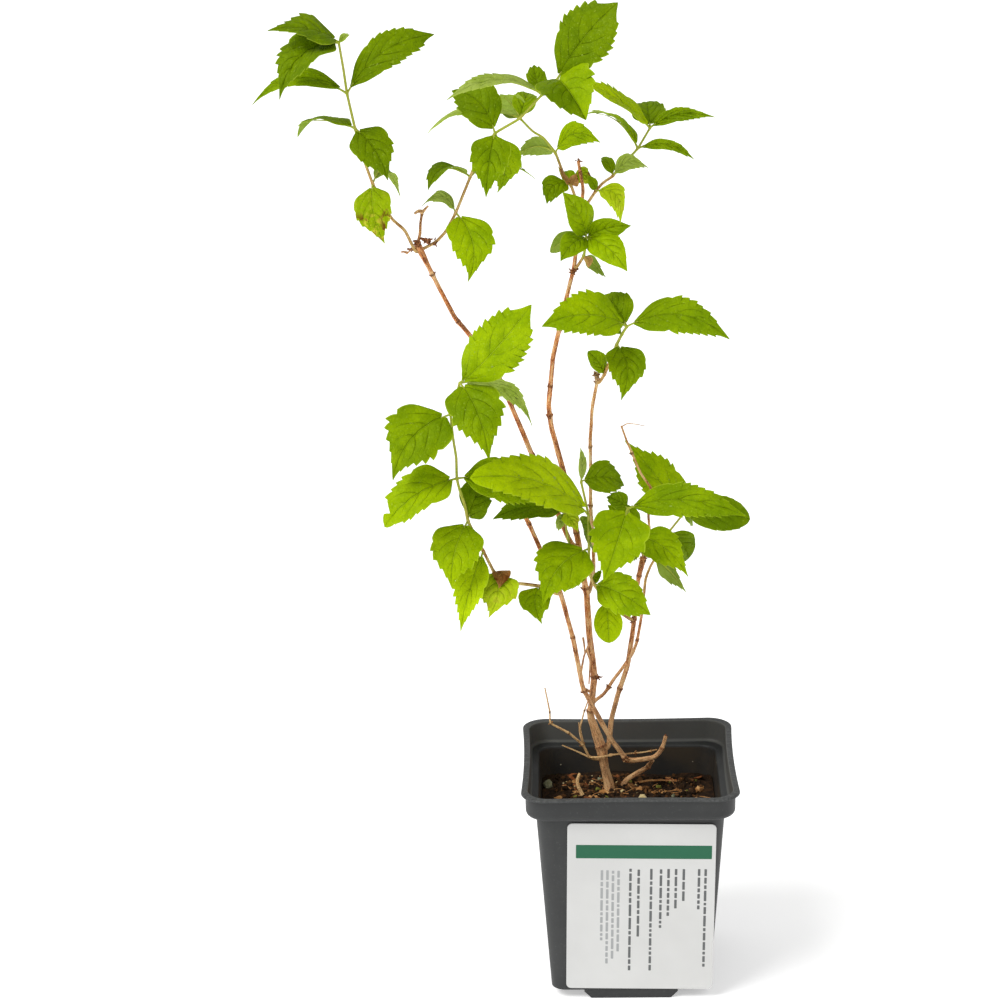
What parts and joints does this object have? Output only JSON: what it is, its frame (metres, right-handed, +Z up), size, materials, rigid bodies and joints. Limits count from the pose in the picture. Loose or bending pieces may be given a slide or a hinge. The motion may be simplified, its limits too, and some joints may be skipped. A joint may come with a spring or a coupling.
{
  "type": "potted mock orange shrub",
  "caption": "Young white-flowering shrub, out of bloom, with slender bare stems and leafy shoots in a square nursery pot with a blank care sticker.",
  "frame": {"origin": "centre of the pot's flat underside, on the surface that it stands on", "axes": "+Z up, -Y out of the face with the sticker, +X to the right of that face"},
  "size_m": [0.1977, 0.0949, 0.4156],
  "materials": {
    "pot": "satin dark grey",
    "soil": "rough moist peat",
    "label": "smooth off-white film",
    "bark": "young tan bark",
    "dry_twig": "dry bare twig",
    "foliage": "soft matt leaf"
  },
  "bodies": {
    "root": {"pot": "pot", "soil": "soil", "label": "label", "stem_middle": "bark", "stem_upper_left": "bark", "stem_left": "bark", "old_arm": "bark", "old_foot": "bark", "stem_right": "bark", "stem_back": "bark", "side_stem": "bark", "dead_twig_right": "dry_twig", "dead_twig_top": "dry_twig", "old_root": "dry_twig", "dead_twigs_left": "dry_twig", "shoot_far_left": "foliage", "shoot_top": "foliage", "shoot_top_back": "foliage", "shoot_top_right": "foliage", "shoot_upper_middle": "foliage", "shoot_right": "foliage", "shoot_left": "foliage", "shoot_low_middle": "foliage", "shoot_low_right": "foliage", "shoot_far_right": "foliage", "shoot_inner": "foliage"}
  },
  "joints": []
}
